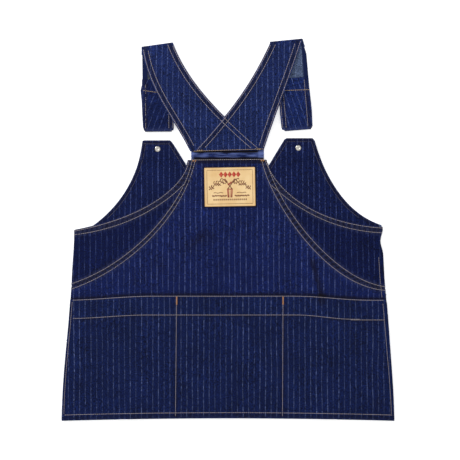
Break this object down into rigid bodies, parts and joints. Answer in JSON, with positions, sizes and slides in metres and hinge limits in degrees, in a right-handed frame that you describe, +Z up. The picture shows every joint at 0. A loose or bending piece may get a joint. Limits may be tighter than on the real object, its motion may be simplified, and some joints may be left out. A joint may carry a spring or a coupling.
{
  "type": "artist apron",
  "caption": "Overall-style striped denim smock apron laid flat, back side up, with crossed straps, wire buckles, leather patch and a full-width pocket panel.",
  "frame": {"origin": "bottom centre of the bounding box of the apron laid flat on a table, back side up", "axes": "+X to the viewer's right across the garment, +Y from hem to shoulder folds, +Z up from the table, out of the back of the garment"},
  "size_m": [0.532, 0.6118, 0.0066],
  "materials": {
    "denim_panel": "indigo striped twill",
    "denim_facing": "indigo striped twill",
    "denim_pocket": "indigo striped twill",
    "denim_strap": "indigo striped twill",
    "elastic_band": "faded denim casing over elastic",
    "thread": "tan polyester-core thread",
    "leather": "vegetable-tanned, smooth",
    "nickel": "nickel plated"
  },
  "bodies": {
    "apron_body": {"front_panel": "denim_panel", "front_facing": "denim_facing", "front_hem": "denim_panel", "back_panel": "denim_panel", "side_back_left": "denim_panel", "side_back_right": "denim_panel", "back_seam_left": "denim_panel", "back_seam_right": "denim_panel", "armhole_hem_left": "denim_panel", "armhole_hem_right": "denim_panel", "back_top_hem": "denim_panel", "back_hem": "denim_panel", "pocket_panel": "denim_pocket", "pocket_mouth_hem": "denim_pocket", "pocket_bar_tacks": "thread", "side_seam_left": "denim_panel", "side_seam_right": "denim_panel", "elastic_insert": "elastic_band", "leather_patch": "leather", "tab_button_left": "nickel", "tab_button_right": "nickel", "tack_left": "nickel", "tack_right": "nickel"},
    "harness": {"strap_left": "denim_strap", "strap_right": "denim_strap"},
    "left_drop": {"strap_end_left": "denim_strap"},
    "right_drop": {"strap_end_right": "denim_strap"},
    "left_buckle": {"buckle_left": "nickel"},
    "right_buckle": {"buckle_right": "nickel"}
  },
  "joints": [
    {"name": "yoke_fold", "type": "hinge", "parent": "apron_body", "child": "harness", "pos_m": [0.0005, 0.1241, 0.00313], "axis": [1, 0, 0], "range_deg": [0, 150]},
    {"name": "left_shoulder_fold", "type": "hinge", "parent": "harness", "child": "left_drop", "pos_m": [-0.113, 0.2951, 0.0013], "axis": [0.9903, 0.1386, 0], "range_deg": [0, 180]},
    {"name": "right_shoulder_fold", "type": "hinge", "parent": "harness", "child": "right_drop", "pos_m": [0.0935, 0.3021, 0.0013], "axis": [0.9952, 0.0976, 0], "range_deg": [0, 180]},
    {"name": "left_buckle_pivot", "type": "hinge", "parent": "left_drop", "child": "left_buckle", "pos_m": [-0.1115, 0.1586, 0.00215], "axis": [-1, -0.0087, 0], "range_deg": [0, 135]},
    {"name": "right_buckle_pivot", "type": "hinge", "parent": "right_drop", "child": "right_buckle", "pos_m": [0.1115, 0.1611, 0.00215], "axis": [-0.9969, -0.0785, 0], "range_deg": [0, 135]}
  ]
}
